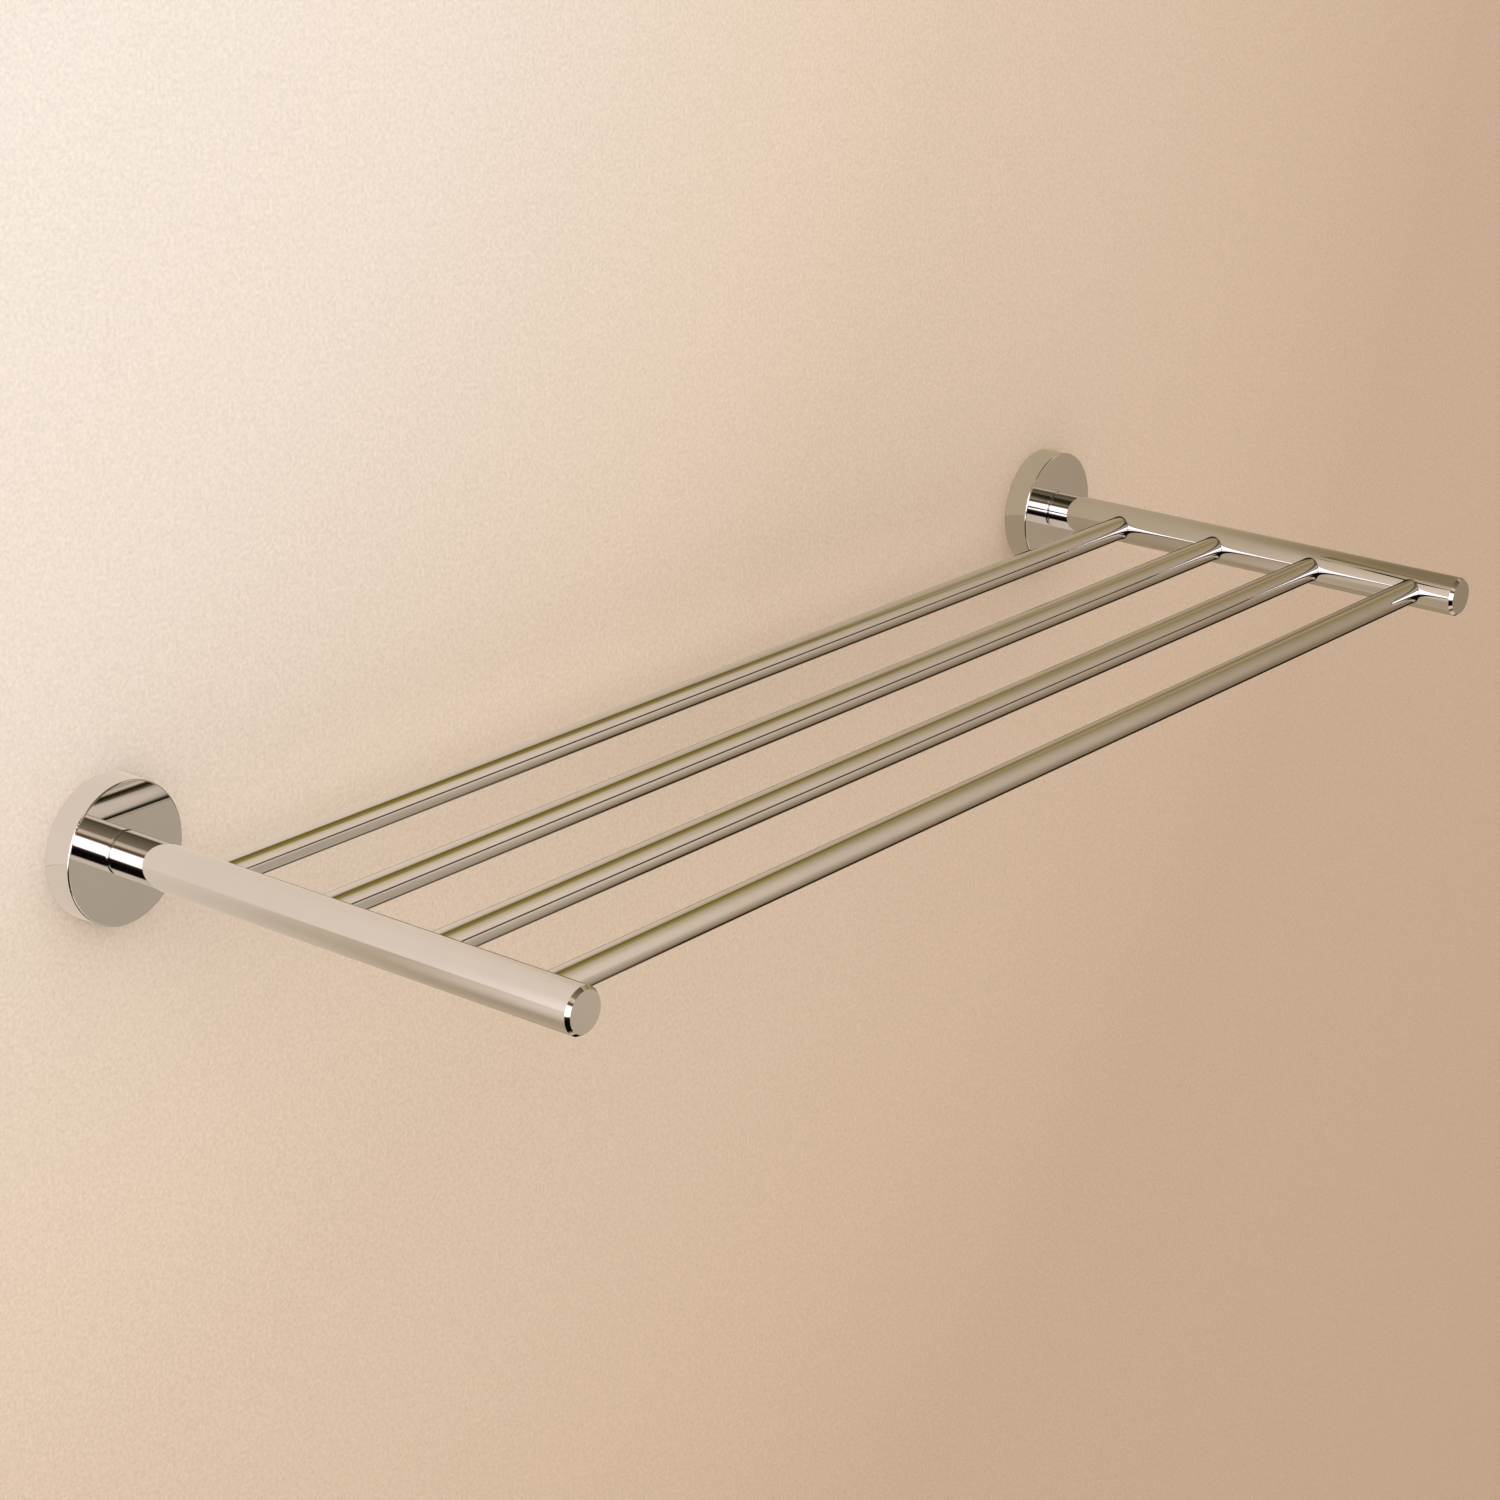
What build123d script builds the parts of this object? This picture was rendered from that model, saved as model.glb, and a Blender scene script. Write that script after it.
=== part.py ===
"""Four-bar wall towel rack.

Millimetres. The origin is on the wall, midway between the two rosettes and at
the height of the arm axes. +X runs along the bars, -Y points away from the
wall into the room, and +Z is up.
"""
from build123d import *
import os

os.makedirs("parts", exist_ok=True)

# Overall layout
ARM_SPACING = 550.0          # between the two arm axes
ARM_END_Y = -208.0           # front face of the end caps
FIRST_BAR_Y = -47.4          # axis of the bar nearest the wall
BAR_PITCH = 46.9
BAR_NAMES = ("wall_side_bar", "second_bar", "third_bar", "front_bar")
SIDES = {"left": -1, "right": 1}

# Rosette: a cup that covers the wall plate
ROSETTE_D = 50.0
ROSETTE_DEPTH = 10.7
ROSETTE_WALL = 3.0
ROSETTE_EDGE_ROUNDING = 0.6

# Wall plate: a ring that is screwed to the wall inside the rosette
PLATE_CLEARANCE = 0.3        # radial, between the plate and the cup
PLATE_THICKNESS = 6.8
PLATE_CENTRE_HOLE_D = 16.0
WALL_HOLE_SPACING = 28.0     # vertical, between the two screw holes
WALL_HOLE_D = 5.5
WALL_HEAD_D = 9.4
WALL_HEAD_DEPTH = 3.2

# Arm: a straight tube with a cap at the front
ARM_D = 16.0
ARM_WALL = 1.5
ARM_ROOT_ROUNDING = 1.0      # radius on the tube's outer edge, against the rosette
CAP_CHAMFER_LENGTH = 1.4     # along the arm
CAP_CHAMFER_WIDTH = 1.0      # across the arm
CAP_SPIGOT_LENGTH = 7.0
SPIGOT_CLEARANCE = 0.05      # radial, inside the tube
INSERT_LENGTH = 16.0
INSERT_EDGE_CHAMFER = 0.6

# Bars: tubes that enter both arms through a hole in the inner side
BAR_D = 10.0
BAR_WALL = 1.0
BAR_PAST_ARM_AXIS = 3.4      # how far a bar reaches beyond the arm axis
BAR_HOLE_CLEARANCE = 0.1     # radial
BAR_PLUG_LENGTH = 12.0

# Fasteners
ARM_BOLT_D = 6.0
ARM_BOLT_CLEARANCE = 0.2     # radial, in the rosette's floor
ARM_BOLT_HEAD_D = 10.0
ARM_BOLT_HEAD_HEIGHT = 3.0
ARM_BOLT_REACH = 12.0        # into the insert
ARM_BOLT_KEY = 4.0           # across the flats of the hexagon socket
ARM_BOLT_KEY_DEPTH = 1.8
GRUB_D = 4.0
GRUB_KEY = 2.0
GRUB_KEY_DEPTH = 2.0
GRUB_EDGE_CHAMFER = 0.4
ROSETTE_GRUB_Y = -4.8        # height of the grub screw above the wall
ROSETTE_GRUB_BITE = 1.6      # how far it enters the plate's rim
GRUB_SINK = 0.3              # its outer end lies this deep in the surface
THREAD_CLEARANCE = 0.02      # radial, each thread is a plain cylinder
CUT_MARGIN = 1.0             # how far a cutting cylinder runs past a curved wall

ROSETTE_R = ROSETTE_D / 2
CUP_R = ROSETTE_R - ROSETTE_WALL
CUP_FLOOR_Y = ROSETTE_WALL - ROSETTE_DEPTH
PLATE_R = CUP_R - PLATE_CLEARANCE
ARM_R = ARM_D / 2
ARM_BORE_R = ARM_R - ARM_WALL
ARM_TUBE_END_Y = ARM_END_Y + CAP_CHAMFER_LENGTH
BAR_R = BAR_D / 2
BAR_BORE_R = BAR_R - BAR_WALL
BAR_END_X = ARM_SPACING / 2 + BAR_PAST_ARM_AXIS
GRUB_R = GRUB_D / 2


def bar_positions():
    """Distance of each bar's axis from the wall, with the bar's name."""
    return [(name, FIRST_BAR_Y - i * BAR_PITCH) for i, name in enumerate(BAR_NAMES)]


def rod_along_y(radius, y_from, y_to, x=0.0, z=0.0):
    """Solid cylinder whose axis is parallel to Y."""
    middle = (y_from + y_to) / 2
    return Pos(x, middle, z) * Rot(90, 0, 0) * Cylinder(radius, abs(y_to - y_from))


def rod_along_x(radius, x_from, x_to, y):
    """Solid cylinder at arm height whose axis is parallel to X."""
    middle = (x_from + x_to) / 2
    return Pos(middle, y, 0) * Rot(0, 90, 0) * Cylinder(radius, abs(x_to - x_from))


def rod_along_z(radius, z_from, z_to, x, y):
    """Solid upright cylinder."""
    middle = (z_from + z_to) / 2
    return Pos(x, y, middle) * Cylinder(radius, abs(z_to - z_from))


def grub_hole(z_from, z_to, x, y):
    """Upright cylinder that cuts the tapped hole for a grub screw."""
    return rod_along_z(GRUB_R + THREAD_CLEARANCE, z_from, z_to, x, y)


def front_edges(shape):
    """The circular edges at the end of a shape that is farthest from the wall."""
    return shape.edges().filter_by(GeomType.CIRCLE).group_by(Axis.Y)[0]


def wall_side_edges(shape):
    """The circular edges at the end of a shape that is nearest to the wall."""
    return shape.edges().filter_by(GeomType.CIRCLE).group_by(Axis.Y)[-1]


def rosette(x):
    """Cup with a rounded front edge, open to the wall."""
    body = rod_along_y(ROSETTE_R, 0, -ROSETTE_DEPTH, x)
    body = fillet(front_edges(body), ROSETTE_EDGE_ROUNDING)
    body -= rod_along_y(CUP_R, 0, CUP_FLOOR_Y, x)
    body -= rod_along_y(ARM_BOLT_D / 2 + ARM_BOLT_CLEARANCE, CUP_FLOOR_Y, -ROSETTE_DEPTH, x)
    return body - grub_hole(-ROSETTE_R - CUT_MARGIN, CUT_MARGIN - CUP_R, x, ROSETTE_GRUB_Y)


def wall_plate(x):
    """Ring with two counterbored holes for the wall screws."""
    body = rod_along_y(PLATE_R, 0, -PLATE_THICKNESS, x)
    body -= rod_along_y(PLATE_CENTRE_HOLE_D / 2, 0, -PLATE_THICKNESS, x)
    for z in (-WALL_HOLE_SPACING / 2, WALL_HOLE_SPACING / 2):
        body -= rod_along_y(WALL_HOLE_D / 2, 0, -PLATE_THICKNESS, x, z)
        head_from_y = WALL_HEAD_DEPTH - PLATE_THICKNESS
        body -= rod_along_y(WALL_HEAD_D / 2, head_from_y, -PLATE_THICKNESS, x, z)
    bite_z = ROSETTE_GRUB_BITE - PLATE_R
    return body - grub_hole(-PLATE_R - CUT_MARGIN, bite_z, x, ROSETTE_GRUB_Y)


def grub_screw(x, y, z_from, z_to):
    """Headless screw: key socket at its lower end, chamfered tip at its upper end."""
    body = rod_along_z(GRUB_R, z_from, z_to, x, y)
    body = chamfer(body.edges().filter_by(GeomType.CIRCLE), GRUB_EDGE_CHAMFER)
    key = Pos(x, y, z_from) * extrude(RegularPolygon(GRUB_KEY / 2, 6, major_radius=False), GRUB_KEY_DEPTH)
    return body - key


def rosette_grub_screw(x):
    """Screw that clamps the rosette to the wall plate from below."""
    return grub_screw(x, ROSETTE_GRUB_Y, GRUB_SINK - ROSETTE_R, ROSETTE_GRUB_BITE - PLATE_R)


def arm_bolt(x):
    """Socket-head bolt from inside the rosette into the arm's insert."""
    head_y = CUP_FLOOR_Y + ARM_BOLT_HEAD_HEIGHT
    body = rod_along_y(ARM_BOLT_HEAD_D / 2, head_y, CUP_FLOOR_Y, x)
    body += rod_along_y(ARM_BOLT_D / 2, CUP_FLOOR_Y, -ROSETTE_DEPTH - ARM_BOLT_REACH, x)
    key = extrude(RegularPolygon(ARM_BOLT_KEY / 2, 6, major_radius=False), ARM_BOLT_KEY_DEPTH)
    return body - Pos(x, head_y, 0) * Rot(90, 0, 0) * key


def arm_insert(x):
    """Tapped plug that closes the wall end of the arm."""
    end_y = -ROSETTE_DEPTH - INSERT_LENGTH
    body = rod_along_y(ARM_BORE_R, -ROSETTE_DEPTH, end_y, x)
    body = chamfer(front_edges(body), INSERT_EDGE_CHAMFER)
    return body - rod_along_y(ARM_BOLT_D / 2 + THREAD_CLEARANCE, -ROSETTE_DEPTH, end_y, x)


def arm_tube(side):
    """Straight tube with a side hole and a tapped hole below for each bar."""
    x = side * ARM_SPACING / 2
    body = rod_along_y(ARM_R, -ROSETTE_DEPTH, ARM_TUBE_END_Y, x)
    body = fillet(wall_side_edges(body), ARM_ROOT_ROUNDING)
    body -= rod_along_y(ARM_BORE_R, -ROSETTE_DEPTH, ARM_TUBE_END_Y, x)
    for _, y in bar_positions():
        body -= rod_along_x(BAR_R + BAR_HOLE_CLEARANCE, x, x - side * ARM_D, y)
        body -= grub_hole(-ARM_D, 0, x, y)
    return body


def end_cap(x):
    """Tapered disc with a spigot that fits the front of the arm."""
    middle_y = (ARM_TUBE_END_Y + ARM_END_Y) / 2
    disc = Cone(ARM_R, ARM_R - CAP_CHAMFER_WIDTH, CAP_CHAMFER_LENGTH)
    spigot_r = ARM_BORE_R - SPIGOT_CLEARANCE
    spigot = rod_along_y(spigot_r, ARM_TUBE_END_Y + CAP_SPIGOT_LENGTH, ARM_TUBE_END_Y, x)
    return Pos(x, middle_y, 0) * Rot(90, 0, 0) * disc + spigot


def bar(y):
    """Tube that reaches into both arms."""
    body = rod_along_x(BAR_R, -BAR_END_X, BAR_END_X, y)
    return body - rod_along_x(BAR_BORE_R, -BAR_END_X, BAR_END_X, y)


def bar_end_plug(side, y):
    """Solid slug in a bar's end, which backs the bar where its grub screw presses."""
    return rod_along_x(BAR_BORE_R, side * (BAR_END_X - BAR_PLUG_LENGTH), side * BAR_END_X, y)


def bar_grub_screw(x, y):
    """Screw through the underside of the arm that presses on the bar."""
    return grub_screw(x, y, GRUB_SINK - ARM_R, -BAR_R)


def build():
    """All the nodes of the rack, by name."""
    nodes = {}
    for side_name, side in SIDES.items():
        x = side * ARM_SPACING / 2
        plugs = [bar_end_plug(side, y) for _, y in bar_positions()]
        screws = [bar_grub_screw(x, y) for _, y in bar_positions()]
        nodes[side_name + "_wall_plate"] = wall_plate(x)
        nodes[side_name + "_rosette"] = rosette(x)
        nodes[side_name + "_rosette_grub_screw"] = rosette_grub_screw(x)
        nodes[side_name + "_arm_bolt"] = arm_bolt(x)
        nodes[side_name + "_arm_insert"] = arm_insert(x)
        nodes[side_name + "_arm_tube"] = arm_tube(side)
        nodes[side_name + "_end_cap"] = end_cap(x)
        nodes[side_name + "_bar_end_plugs"] = Compound(children=plugs)
        nodes[side_name + "_bar_grub_screws"] = Compound(children=screws)
    for name, y in bar_positions():
        nodes[name] = bar(y)
    return nodes


for node_name, shape in build().items():
    export_step(shape, "parts/" + node_name + ".step")
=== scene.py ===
import math
import bmesh
import bpy
from mathutils import Matrix, Vector

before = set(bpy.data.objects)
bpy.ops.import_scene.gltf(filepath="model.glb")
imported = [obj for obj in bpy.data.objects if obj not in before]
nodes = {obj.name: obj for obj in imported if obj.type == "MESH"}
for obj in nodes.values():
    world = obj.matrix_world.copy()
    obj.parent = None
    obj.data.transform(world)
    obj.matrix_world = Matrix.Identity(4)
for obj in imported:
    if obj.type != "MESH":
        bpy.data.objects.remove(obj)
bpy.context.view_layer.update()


def linear(red, green, blue):
    """A colour as the eye sees it, 0 to 255, as the linear RGBA that Blender's sockets hold."""
    out = []
    for value in (red, green, blue):
        value = value / 255
        if value <= 0.04045:
            out.append(value / 12.92)
        else:
            out.append(((value + 0.055) / 1.055) ** 2.4)
    return (*out, 1.0)


class Recipe:
    """A material's node tree, with short calls for the nodes that the finishes share."""

    def __init__(self, tree):
        self.tree = tree
        self.nodes = tree.nodes
        self.links = tree.links

    def node(self, kind, **settings):
        """A new node with the given settings."""
        made = self.nodes.new(kind)
        for key, value in settings.items():
            setattr(made, key, value)
        return made

    def join(self, source, target):
        """Links an output to an input."""
        self.links.new(source, target)

    def math(self, operation, first, second):
        """Arithmetic on two values. Either may be a number."""
        made = self.node("ShaderNodeMath", operation=operation)
        for socket, value in zip(made.inputs, (first, second)):
            if isinstance(value, (int, float)):
                socket.default_value = value
            else:
                self.join(value, socket)
        return made.outputs[0]

    def span(self, value, low, high, to_low=0.0, to_high=1.0, smooth=False):
        """value, mapped from low..high to to_low..to_high and held at both ends."""
        made = self.node("ShaderNodeMapRange")
        made.interpolation_type = "SMOOTHSTEP" if smooth else "LINEAR"
        self.join(value, made.inputs["Value"])
        made.inputs["From Min"].default_value = low
        made.inputs["From Max"].default_value = high
        made.inputs["To Min"].default_value = to_low
        made.inputs["To Max"].default_value = to_high
        return made.outputs["Result"]

    def blend(self, factor, first, second, kind="MIX"):
        """first where factor is 0, second where it is 1. Either may be a colour."""
        made = self.node("ShaderNodeMix", data_type="RGBA", blend_type=kind)
        if isinstance(factor, (int, float)):
            made.inputs[0].default_value = factor
        else:
            self.join(factor, made.inputs[0])
        for socket, value in ((made.inputs[6], first), (made.inputs[7], second)):
            if isinstance(value, tuple):
                socket.default_value = value
            else:
                self.join(value, socket)
        return made.outputs[2]

    def ramp(self, value, stops):
        """A colour ramp of (position, colour) stops."""
        made = self.node("ShaderNodeValToRGB")
        self.join(value, made.inputs[0])
        elements = made.color_ramp.elements
        while len(elements) < len(stops):
            elements.new(0.5)
        for element, (position, colour) in zip(elements, stops):
            element.position = position
            element.color = colour
        return made.outputs[0]

    def split(self, vector):
        """The x, y and z of a vector."""
        made = self.node("ShaderNodeSeparateXYZ")
        self.join(vector, made.inputs[0])
        return made.outputs

    def noise(self, vector, scale, detail=2.0, roughness=0.5):
        """Cloudy noise, about 0.3 to 0.7, finer as scale grows."""
        made = self.node("ShaderNodeTexNoise")
        self.join(vector, made.inputs["Vector"])
        made.inputs["Scale"].default_value = scale
        made.inputs["Detail"].default_value = detail
        made.inputs["Roughness"].default_value = roughness
        return made.outputs["Fac"]

    def stretched(self, vector, factors):
        """The vector, scaled along x, y and z."""
        made = self.node("ShaderNodeMapping")
        self.join(vector, made.inputs["Vector"])
        made.inputs["Scale"].default_value = factors
        return made.outputs["Vector"]

    def bump(self, height, strength, distance):
        """A normal that leans with height. distance is in metres."""
        made = self.node("ShaderNodeBump")
        self.join(height, made.inputs["Height"])
        made.inputs["Strength"].default_value = strength
        made.inputs["Distance"].default_value = distance
        return made.outputs["Normal"]


def new_finish(name):
    """A new material: its recipe, its Principled shader and the object's own coordinates."""
    material = bpy.data.materials.new(name)
    material.use_nodes = True
    recipe = Recipe(material.node_tree)
    shader = material.node_tree.nodes["Principled BSDF"]
    place = recipe.node("ShaderNodeTexCoord").outputs["Object"]
    return material, recipe, shader, place


# Share of red, green and blue light that each finish reflects.
CHROME_DARKER = (0.80, 0.80, 0.825, 1)
CHROME_LIGHTER = (0.83, 0.83, 0.85, 1)
ZINC_DARKER = linear(150, 152, 155)
ZINC_LIGHTER = linear(172, 173, 175)
STEEL_DARKER = linear(176, 176, 178)
STEEL_LIGHTER = linear(203, 203, 205)
BRASS_DARKER = linear(186, 152, 86)
BRASS_LIGHTER = linear(208, 176, 110)

# Polishing and turning lines run along the axis with the small factor, or across the large one.
POLISHED_ALONG_BARS = (0.02, 1, 1)
POLISHED_ALONG_ARMS = (1, 0.02, 1)
BUFFED_FACES = (1, 0.2, 1)
TURNED_SCREWS = (1, 12, 1)
TURNED_PLUGS = (1, 10, 1)

CHROME_WEAR = 0.05     # roughness that a speck of wear adds


def plated_chrome(name, grain):
    """Mirror chrome over polished brass. grain is the stretch that lays the polishing lines."""
    material, recipe, shader, place = new_finish(name)
    lines = recipe.noise(recipe.stretched(place, grain), scale=900.0, detail=3.0, roughness=0.6)
    haze = recipe.noise(place, scale=38.0, detail=4.0, roughness=0.55)
    specks = recipe.noise(place, scale=1400.0, detail=1.0)
    tone = recipe.blend(recipe.span(haze, low=0.3, high=0.7), CHROME_DARKER, CHROME_LIGHTER)
    recipe.join(tone, shader.inputs["Base Color"])
    rough = recipe.span(haze, low=0.35, high=0.75, to_low=0.012, to_high=0.03)
    wear = recipe.span(specks, low=0.72, high=0.8, to_low=0.0, to_high=CHROME_WEAR)
    recipe.join(recipe.math("ADD", rough, wear), shader.inputs["Roughness"])
    shader.inputs["Metallic"].default_value = 1.0
    recipe.join(recipe.bump(lines, strength=0.02, distance=0.00002), shader.inputs["Normal"])
    return material


def cast_zinc(name):
    """Die-cast zinc: dull grey with a fine grain."""
    material, recipe, shader, place = new_finish(name)
    grain = recipe.noise(place, scale=700.0, detail=4.0, roughness=0.6)
    cloud = recipe.noise(place, scale=60.0, detail=3.0)
    tone = recipe.blend(recipe.span(cloud, low=0.3, high=0.7), ZINC_DARKER, ZINC_LIGHTER)
    recipe.join(tone, shader.inputs["Base Color"])
    rough = recipe.span(grain, low=0.3, high=0.7, to_low=0.42, to_high=0.58)
    recipe.join(rough, shader.inputs["Roughness"])
    shader.inputs["Metallic"].default_value = 0.85
    recipe.join(recipe.bump(grain, strength=0.25, distance=0.0001), shader.inputs["Normal"])
    return material


def turned_steel(name):
    """Stainless screws: bright steel with turning marks."""
    material, recipe, shader, place = new_finish(name)
    marks = recipe.noise(recipe.stretched(place, TURNED_SCREWS), scale=600.0, detail=3.0, roughness=0.6)
    tone = recipe.blend(recipe.span(marks, low=0.3, high=0.7), STEEL_DARKER, STEEL_LIGHTER)
    recipe.join(tone, shader.inputs["Base Color"])
    rough = recipe.span(marks, low=0.3, high=0.7, to_low=0.22, to_high=0.36)
    recipe.join(rough, shader.inputs["Roughness"])
    shader.inputs["Metallic"].default_value = 1.0
    recipe.join(recipe.bump(marks, strength=0.15, distance=0.00005), shader.inputs["Normal"])
    return material


def machined_brass(name):
    """Bare machined brass, slightly dulled."""
    material, recipe, shader, place = new_finish(name)
    marks = recipe.noise(recipe.stretched(place, TURNED_PLUGS), scale=500.0, detail=3.0, roughness=0.6)
    cloud = recipe.noise(place, scale=90.0, detail=3.0)
    tone = recipe.blend(recipe.span(cloud, low=0.3, high=0.7), BRASS_DARKER, BRASS_LIGHTER)
    recipe.join(tone, shader.inputs["Base Color"])
    rough = recipe.span(marks, low=0.3, high=0.7, to_low=0.2, to_high=0.34)
    recipe.join(rough, shader.inputs["Roughness"])
    shader.inputs["Metallic"].default_value = 1.0
    recipe.join(recipe.bump(marks, strength=0.15, distance=0.00005), shader.inputs["Normal"])
    return material


# The finish of each piece, by how its node's name ends. Inserts and plugs are brass.
chrome_on_bars = plated_chrome("chrome_on_bars", POLISHED_ALONG_BARS)
chrome_on_arms = plated_chrome("chrome_on_arms", POLISHED_ALONG_ARMS)
chrome_on_faces = plated_chrome("chrome_on_faces", BUFFED_FACES)
zinc = cast_zinc("cast_zinc")
steel = turned_steel("turned_steel")
brass = machined_brass("machined_brass")

for name, part in nodes.items():
    if name.endswith("_bar"):
        finish = chrome_on_bars
    elif name.endswith("_arm_tube"):
        finish = chrome_on_arms
    elif name.endswith(("_rosette", "_end_cap")):
        finish = chrome_on_faces
    elif name.endswith("_wall_plate"):
        finish = zinc
    elif name.endswith(("_arm_bolt", "_grub_screw", "_grub_screws")):
        finish = steel
    else:
        finish = brass
    for number in range(len(part.data.materials)):
        part.material_slots[number].material = finish


# Stage: the wall that the rack hangs on, a pale floor, and the studio light. The chrome sees
# neither wall nor floor, but cards in their place, whose tones are set apart from the wall's own.
WALL_Y = 0.0002            # just behind the rosettes' backs
FLOOR_Z = -1.1
WALL_REACH = 4.0
WALL_TOP = 3.0
FLOOR_REACH = 6.0

GLOW_X = -0.5              # centre of the pool of light painted on the wall
GLOW_Z = 0.5
GLOW_FROM = 0.2            # the wall's painted light falls off from here
GLOW_TO = 2.2              # to here, in metres from that place
# Painted light: the warm wall's tones are cream near the brightest place and darker tan farther from it.
WALL_PAINTED_LIGHT_TONES = [
    (0.33, (247, 234, 221)), (0.48, (243, 227, 210)), (0.58, (238, 219, 198)),
    (0.67, (236, 213, 189)), (0.76, (229, 205, 179)), (0.88, (226, 200, 174)),
    (1.0, (221, 194, 167)), (1.2, (210, 182, 155)), (1.8, (208, 180, 151)),
]

# Rows of x along the wall and the tone there, as the chrome sees it.
UPPER_LEFT_X = -0.6
LOWER_LEFT_X = -0.7
RIGHT_X = 0.8
UPPER_TONES = [
    (-0.55, (254, 238, 222)), (-0.47, (238, 220, 201)), (-0.42, (234, 216, 196)),
    (-0.3, (234, 215, 195)), (-0.12, (229, 208, 186)),
    (0.0, (213, 193, 168)), (0.15, (193, 174, 146)), (0.3, (184, 165, 134)),
    (0.45, (180, 160, 128)), (0.6, (174, 154, 123)),
]
LOWER_TONES = [
    (-0.6, (244, 226, 206)), (-0.53, (226, 206, 185)), (-0.46, (198, 179, 152)),
    (-0.4, (208, 189, 163)), (-0.36, (221, 202, 181)), (-0.3, (230, 211, 190)), (-0.2, (226, 207, 184)),
    (-0.1, (192, 172, 146)), (0.05, (174, 155, 129)), (0.35, (168, 148, 120)),
    (0.55, (183, 160, 130)),
]
DEEP_TONES = [
    (-0.5, (178, 158, 132)), (-0.3, (184, 165, 139)), (-0.1, (190, 171, 145)),
    (0.1, (166, 146, 119)), (0.35, (160, 140, 112)), (0.55, (166, 146, 116)),
]
DEEP_Z = -0.4              # the lower wall has its deep tones from here down
CORNER_BROWN = linear(138, 119, 86)
SLIT_BROWN = linear(40, 31, 23)
GAP_BROWN = linear(40, 30, 22)

# The olive panel leans over the right end. Its height follows from x and y.
OLIVE_HEIGHT = 0.558
OLIVE_FALL_X = -1.253
OLIVE_RISE_Y = 0.906
OLIVE_TOP_Y = -0.02
OLIVE_LEFT_TONES = [
    (0.0, (104, 85, 30)), (0.3, (122, 102, 42)), (0.6, (140, 120, 60)), (0.85, (156, 136, 84)),
    (1.0, (168, 148, 104)),
]
OLIVE_RIGHT_TONES = [
    (0.0, (104, 86, 44)), (0.4, (120, 102, 58)), (0.8, (146, 128, 92)), (1.0, (162, 143, 112)),
]

# Outlines of the cards, as (x, z) on the wall and (x, y) on the olive panel.
UPPER_WALL_OUTLINE = [
    (-3.0, 0.0), (1.5, 0.0), (0.9, 0.05), (0.6, 0.22), (0.4, 0.34), (0.19, 0.42), (-0.1, 0.55),
    (-3.0, 2.1),
]
SLIT_OUTLINE = [(0.17, 0.262), (0.1, 0.285), (-0.03, 0.285), (-0.07, 0.325), (0.08, 0.315)]
OLIVE_OUTLINE = [
    (0.0, OLIVE_TOP_Y), (0.0, -0.39), (0.12, -0.27), (0.22, -0.2), (0.28, -0.17), (0.315, -0.16),
    (0.3, -0.12), (0.268, -0.07), (0.235, OLIVE_TOP_Y),
]
LOWER_WALL_REACH = 3
LOWER_WALL_BACK = 3        # the lower card leans back by this much
LOWER_WALL_BOTTOM = -7     # over this height

SECOND_BOUNCE = 0.12       # strength of a card in a reflection of a reflection, a painted shade between the bars


def stage_card(name, corners, material):
    """A flat stage card through the given corners."""
    mesh = bpy.data.meshes.new(name)
    form = bmesh.new()
    form.faces.new([form.verts.new(corner) for corner in corners])
    form.to_mesh(mesh)
    form.free()
    mesh.materials.append(material)
    card = bpy.data.objects.new(name, mesh)
    bpy.context.scene.collection.objects.link(card)
    return card


def only_in_reflections(card):
    """The card shows in the chrome and nowhere else, and neither lights nor shades anything."""
    card.visible_camera = False
    card.visible_diffuse = False
    card.visible_shadow = False
    card.visible_transmission = False


def emission_paint(name):
    """A material that glows: its recipe, the lamp node and the x, y and z of the object.

    Except at the left end it is dimmer the second time it is mirrored: painted shade that
    parts each bar from its neighbour's image.
    """
    material = bpy.data.materials.new(name)
    material.use_nodes = True
    recipe = Recipe(material.node_tree)
    recipe.nodes.remove(recipe.nodes["Principled BSDF"])
    lamp = recipe.node("ShaderNodeEmission")
    recipe.join(lamp.outputs[0], recipe.nodes["Material Output"].inputs["Surface"])
    x, y, z = recipe.split(recipe.node("ShaderNodeTexCoord").outputs["Object"])
    bounces = recipe.node("ShaderNodeLightPath").outputs["Glossy Depth"]
    between_bars = recipe.span(x, low=-0.2, high=-0.1)
    # painted shade: right of x = -0.2 a card is dimmed in a reflection of a reflection
    painted_shade_between_bars = recipe.math("MULTIPLY", recipe.span(bounces, low=1.0, high=2.0), between_bars)
    strength = recipe.span(painted_shade_between_bars, low=0.0, high=1.0, to_low=1.0, to_high=SECOND_BOUNCE)
    recipe.join(strength, lamp.inputs["Strength"])
    return material, recipe, lamp, (x, y, z)


def see_through(recipe, shader, amount):
    """Mixes shader with clear glass: nothing of it is left where amount is 1."""
    clear = recipe.node("ShaderNodeBsdfTransparent")
    both = recipe.node("ShaderNodeMixShader")
    recipe.join(amount, both.inputs[0])
    recipe.join(shader.outputs[0], both.inputs[1])
    recipe.join(clear.outputs[0], both.inputs[2])
    recipe.join(both.outputs[0], recipe.nodes["Material Output"].inputs["Surface"])


def toned(recipe, value, rows, low, high):
    """The tone at value, from (place, colour) rows with places between low and high."""
    stops = [((place - low) / (high - low), linear(*colour)) for place, colour in rows]
    return recipe.ramp(recipe.span(value, low=low, high=high), stops)


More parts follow.
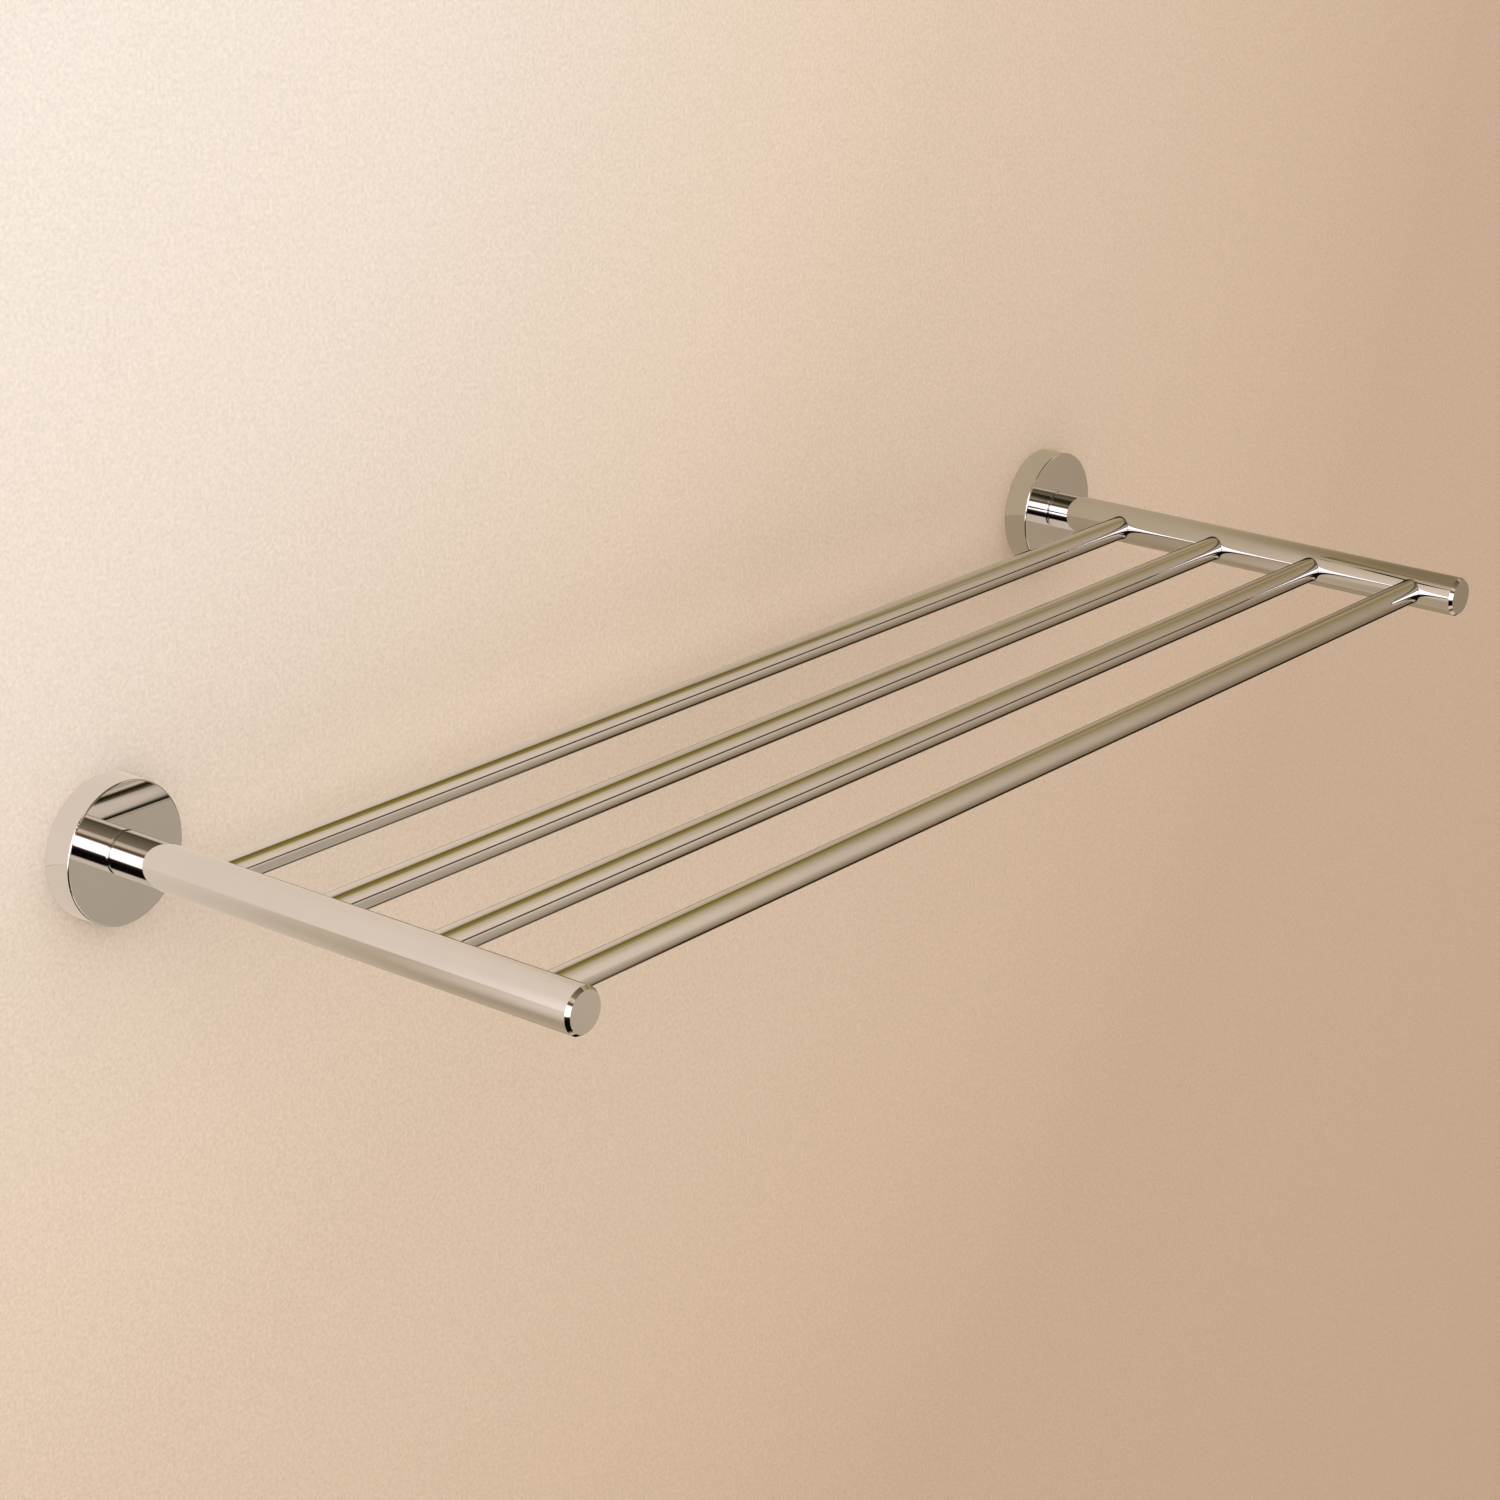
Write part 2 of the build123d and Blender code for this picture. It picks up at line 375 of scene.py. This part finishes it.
def wall_paint():
    """Warm plaster with a fine stipple and a painted pool of light, clear from behind so that the rack's
    back can be seen.
    """
    material, recipe, shader, place = new_finish("stage_wall_paint")
    x, y, z = recipe.split(place)
    across = recipe.math("ADD", x, -GLOW_X)
    up = recipe.math("ADD", z, -GLOW_Z)
    square = recipe.math("ADD", recipe.math("MULTIPLY", across, across), recipe.math("MULTIPLY", up, up))
    away = recipe.math("POWER", square, 0.5)
    # painted light: the wall is lighter near the brightest place and darker farther off
    tone = toned(recipe, away, WALL_PAINTED_LIGHT_TONES, low=GLOW_FROM, high=GLOW_TO)
    grain = recipe.noise(place, scale=700.0, detail=3.0, roughness=0.65)
    mottle = recipe.span(grain, low=0.3, high=0.7, to_low=0.91, to_high=1.09)
    bright = recipe.node("ShaderNodeVectorMath", operation="SCALE")
    recipe.join(tone, bright.inputs[0])
    recipe.join(mottle, bright.inputs["Scale"])
    recipe.join(bright.outputs[0], shader.inputs["Base Color"])
    shader.inputs["Roughness"].default_value = 0.9
    shader.inputs["Specular IOR Level"].default_value = 0.1
    recipe.join(recipe.bump(grain, strength=0.3, distance=0.0004), shader.inputs["Normal"])
    see_through(recipe, shader, recipe.node("ShaderNodeNewGeometry").outputs["Backfacing"])
    return material


def floor_paint():
    """A pale floor with faint clouds."""
    material, recipe, shader, place = new_finish("stage_floor_paint")
    cloud = recipe.noise(place, scale=3.0, detail=3.0)
    tone = recipe.blend(recipe.span(cloud, low=0.3, high=0.7), linear(222, 214, 204), linear(228, 221, 212))
    recipe.join(tone, shader.inputs["Base Color"])
    shader.inputs["Roughness"].default_value = 0.85
    return material


def upper_wall_glow():
    """The lit wall above the rack: cream at the left, tan at the right, brown in the far corner."""
    material, recipe, lamp, (x, y, z) = emission_paint("stage_upper_wall_glow")
    tone = toned(recipe, x, UPPER_TONES, low=UPPER_LEFT_X, high=RIGHT_X)
    slant = recipe.math("ADD", z, recipe.math("MULTIPLY", x, 0.55))
    in_corner = recipe.span(slant, low=0.3, high=0.56)
    recipe.join(recipe.blend(in_corner, tone, CORNER_BROWN), lamp.inputs["Color"])
    return material


def dark_slit_paint():
    """A narrow dark gap in the upper wall, which draws a dark line on the rosettes and arms."""
    material, recipe, lamp, (x, y, z) = emission_paint("stage_dark_slit_paint")
    lamp.inputs["Color"].default_value = SLIT_BROWN
    return material


def lower_wall_glow():
    """The lit wall below the rack, darker lower down, with a dark gap at the far right."""
    material, recipe, lamp, (x, y, z) = emission_paint("stage_lower_wall_glow")
    top = toned(recipe, x, LOWER_TONES, low=LOWER_LEFT_X, high=RIGHT_X)
    deep = toned(recipe, x, DEEP_TONES, low=LOWER_LEFT_X, high=RIGHT_X)
    lit = recipe.blend(recipe.span(z, low=0.0, high=DEEP_Z), top, deep)
    slant = recipe.math("ADD", x, recipe.math("MULTIPLY", z, 1.83))
    beside = recipe.span(x, low=0.6, high=0.72)
    far_right = recipe.math("MULTIPLY", beside, recipe.span(slant, low=-0.35, high=-0.2))
    gap = recipe.math("MULTIPLY", far_right, recipe.span(z, low=-0.45, high=-0.6))
    recipe.join(recipe.blend(gap, lit, GAP_BROWN), lamp.inputs["Color"])
    return material


def olive_glow():
    """A dark olive panel over the right end, soft along its lower edge."""
    material, recipe, lamp, (x, y, z) = emission_paint("stage_olive_glow")
    edge = recipe.math("ADD", recipe.math("MULTIPLY", x, 0.6), -0.28)
    lowest = recipe.math("MINIMUM", edge, -0.12)
    below_top = recipe.math("ADD", y, -OLIVE_TOP_Y)
    depth = recipe.math("DIVIDE", below_top, recipe.math("ADD", lowest, -OLIVE_TOP_Y))
    left = toned(recipe, depth, OLIVE_LEFT_TONES, low=0.0, high=1.0)
    right = toned(recipe, depth, OLIVE_RIGHT_TONES, low=0.0, high=1.0)
    recipe.join(recipe.blend(recipe.span(x, low=0.12, high=0.3), left, right), lamp.inputs["Color"])
    see_through(recipe, lamp, recipe.span(depth, low=0.76, high=1.08, smooth=True))
    return material


def on_the_wall(outline, y):
    """Corners of a card that stands at y, from its (x, z) outline."""
    return [(x, y, z) for x, z in outline]


def on_the_olive_panel(outline):
    """Corners on the leaning panel, from its (x, y) outline."""
    return [(x, y, OLIVE_HEIGHT + OLIVE_FALL_X * x + OLIVE_RISE_Y * y) for x, y in outline]


def set_the_stage():
    """The wall and floor that the camera sees, and the cards that the chrome sees."""
    left, right = -WALL_REACH, WALL_REACH
    outline = [(left, FLOOR_Z), (right, FLOOR_Z), (right, WALL_TOP), (left, WALL_TOP)]
    wall = stage_card("stage_wall", on_the_wall(outline, WALL_Y), wall_paint())
    edge = FLOOR_REACH
    floor = stage_card("stage_floor", [
        (-edge, -edge, FLOOR_Z), (edge, -edge, FLOOR_Z), (edge, edge, FLOOR_Z), (-edge, edge, FLOOR_Z),
    ], floor_paint())
    for ground in (wall, floor):
        ground.visible_glossy = False
    upper = stage_card("stage_upper_wall", on_the_wall(UPPER_WALL_OUTLINE, WALL_Y), upper_wall_glow())
    slit = stage_card("stage_dark_slit", on_the_wall(SLIT_OUTLINE, -WALL_Y), dark_slit_paint())
    left, right = -LOWER_WALL_REACH, LOWER_WALL_REACH
    lower = stage_card("stage_lower_wall", [
        (left, 0, 0), (left, LOWER_WALL_BACK, LOWER_WALL_BOTTOM),
        (right, LOWER_WALL_BACK, LOWER_WALL_BOTTOM), (right, 0, 0),
    ], lower_wall_glow())
    olive = stage_card("stage_olive_panel", on_the_olive_panel(OLIVE_OUTLINE), olive_glow())
    for card in (upper, slit, lower, olive):
        only_in_reflections(card)


# The room as the chrome sees it. Rows of degrees and tone: by tilt from straight ahead of the
# wall, up positive, and for the windows by angle around an axis along y.
TILT_FROM = -180
TILT_TO = 180
ROOM_TONES = [
    (-91, (24, 17, 11)), (-85, (116, 98, 76)), (-77, (140, 120, 97)), (-60, (165, 147, 123)),
    (-45, (184, 165, 140)), (-31, (201, 182, 157)), (-18, (219, 201, 178)),
    (-6, (229, 210, 188)), (29, (228, 208, 185)), (42, (220, 199, 172)),
    (54, (208, 188, 158)), (66, (196, 177, 146)), (80, (178, 159, 122)), (94, (152, 133, 95)),
    (112, (140, 120, 92)), (150, (134, 114, 88)),
]
FAR_ROOM_TONES = [
    (-91, (24, 17, 11)), (-85, (114, 95, 73)), (-77, (134, 114, 92)), (-60, (140, 120, 98)),
    (-45, (149, 129, 106)), (-31, (160, 141, 116)), (-6, (174, 154, 130)),
    (6, (176, 156, 131)), (29, (175, 154, 130)), (52, (167, 147, 118)),
    (66, (160, 141, 108)), (76, (154, 136, 97)), (88, (147, 128, 88)), (96, (166, 147, 109)),
    (104, (180, 160, 122)), (120, (140, 120, 92)), (150, (134, 114, 88)),
]
WINDOW_SWING = math.radians(120)
WINDOW_FROM = -60
WINDOW_TO = 300
WINDOW_TONES = [
    (-60, (192, 173, 146)), (-30, (182, 168, 148)), (-8, (188, 170, 145)), (12, (120, 104, 82)),
    (44, (88, 76, 58)), (88, (123, 110, 88)), (106, (140, 124, 99)), (116, (226, 204, 176)),
    (126, (220, 198, 170)), (134, (104, 82, 62)), (143, (110, 88, 70)), (150, (255, 240, 228)),
    (190, (255, 240, 228)), (200, (60, 44, 36)), (212, (14, 11, 9)), (262, (14, 11, 9)),
    (274, (192, 173, 146)), (292, (225, 207, 182)), (300, (200, 182, 156)),
]
WINDOW_GLARE = (2.0, 1.84, 1.72, 1)
PAVING_TONE = linear(226, 208, 184)
SHADED_TONE = linear(181, 166, 146)
EVEN_LIGHT = (1.0, 1.02, 1.06, 1)      # what lights the wall and the floor
PALE_BACKDROP = linear(226, 221, 214)  # what the camera sees beyond them


def room_seen_ahead(tree, x, y, z):
    """Walls and ceiling of the room, lighter at the left than at the right."""
    tilt = tree.math("ARCTAN2", z, tree.math("MULTIPLY", y, -1.0))
    turn = tree.span(tilt, low=-math.pi, high=math.pi, to_low=TILT_FROM, to_high=TILT_TO)
    near = toned(tree, turn, ROOM_TONES, low=TILT_FROM, high=TILT_TO)
    far = toned(tree, turn, FAR_ROOM_TONES, low=TILT_FROM, high=TILT_TO)
    room = tree.blend(tree.span(x, low=0.70, high=0.84), near, far)
    shaded = tree.math("MULTIPLY", tree.span(x, low=0.72, high=0.66), tree.span(z, low=-0.1, high=-0.3))
    return tree.blend(tree.math("MULTIPLY", shaded, tree.math("LESS_THAN", y, 0.1)), room, SHADED_TONE)


def window_seen_aside(tree, x, y, z):
    """The windows at the left, their glare, and the bright paving outside them."""
    cosine = math.cos(WINDOW_SWING)
    sine = math.sin(WINDOW_SWING)
    swung_across = tree.math("ADD", tree.math("MULTIPLY", x, cosine), tree.math("MULTIPLY", z, sine))
    swung_up = tree.math("ADD", tree.math("MULTIPLY", x, -sine), tree.math("MULTIPLY", z, cosine))
    around = tree.math("ARCTAN2", swung_up, swung_across)
    turn = tree.span(around, low=-math.pi, high=math.pi, to_low=WINDOW_FROM, to_high=WINDOW_TO)
    window = toned(tree, turn, WINDOW_TONES, low=WINDOW_FROM, high=WINDOW_TO)
    paving = tree.math("MULTIPLY", tree.span(z, low=-0.66, high=-0.7), tree.span(y, low=-0.42, high=-0.48))
    window = tree.blend(paving, window, PAVING_TONE)
    glare_start = tree.span(around, low=math.radians(25), high=math.radians(32))
    glare_end = tree.span(around, low=math.radians(78), high=math.radians(72))
    return tree.blend(tree.math("MULTIPLY", glare_start, glare_end), window, WINDOW_GLARE)


def light_the_room():
    """The room for the chrome, a soft even light for the wall, and a pale backdrop."""
    world = bpy.data.worlds.new("studio")
    bpy.context.scene.world = world
    world.use_nodes = True
    tree = Recipe(world.node_tree)
    x, y, z = tree.split(tree.node("ShaderNodeTexCoord").outputs["Generated"])
    aside = tree.math("MULTIPLY", tree.span(x, low=0.63, high=0.57), tree.math("LESS_THAN", y, 0.1))
    room = tree.blend(aside, room_seen_ahead(tree, x, y, z), window_seen_aside(tree, x, y, z))
    path = tree.node("ShaderNodeLightPath")
    soft = tree.blend(path.outputs["Is Glossy Ray"], EVEN_LIGHT, room)
    pale = tree.blend(path.outputs["Is Camera Ray"], soft, PALE_BACKDROP)
    tree.join(pale, tree.nodes["Background"].inputs["Color"])


def soft_box(name, centre, side, power):
    """A square lamp that faces the rack and doesn't show in the chrome."""
    lamp = bpy.data.lights.new(name, "AREA")
    lamp.shape = "RECTANGLE"
    lamp.size = side
    lamp.size_y = side
    lamp.energy = power
    holder = bpy.data.objects.new(name, lamp)
    bpy.context.scene.collection.objects.link(holder)
    holder.location = centre
    holder.rotation_euler = (-Vector(centre)).to_track_quat("-Z", "Y").to_euler()
    holder.visible_glossy = False


set_the_stage()
light_the_room()
soft_box("left_soft_box", centre=(-1.0, -0.95, 0.75), side=0.9, power=3.6)

# Camera: at the rack's left, a little above it.
LENS = 86.32
SENSOR = 36.0
CAMERA_AT = (-1.0161, -0.8405, 0.4307)
CAMERA_TURN = math.radians(52.287)
CAMERA_DIP = math.radians(19.654)
CAMERA_ROLL = math.radians(1.111)
NEAREST = 0.01
FARTHEST = 50


def place_camera():
    """Looks into the wall, turned to the right, dipped and slightly rolled."""
    lens = bpy.data.cameras.new("camera")
    lens.lens = LENS
    lens.sensor_width = SENSOR
    lens.clip_start = NEAREST
    lens.clip_end = FARTHEST
    camera = bpy.data.objects.new("camera", lens)
    bpy.context.scene.collection.objects.link(camera)
    ahead = Vector((
        math.sin(CAMERA_TURN) * math.cos(CAMERA_DIP),
        math.cos(CAMERA_TURN) * math.cos(CAMERA_DIP),
        -math.sin(CAMERA_DIP),
    ))
    across = ahead.cross(Vector((0, 0, 1))).normalized()
    above = across.cross(ahead)
    right = across * math.cos(CAMERA_ROLL) + above * math.sin(CAMERA_ROLL)
    up = above * math.cos(CAMERA_ROLL) - across * math.sin(CAMERA_ROLL)
    turned = Matrix((right, up, -ahead)).transposed().to_4x4()
    camera.matrix_world = Matrix.Translation(CAMERA_AT) @ turned
    bpy.context.scene.camera = camera


place_camera()
bpy.context.scene.view_settings.view_transform = "Standard"

bpy.context.view_layer.update()
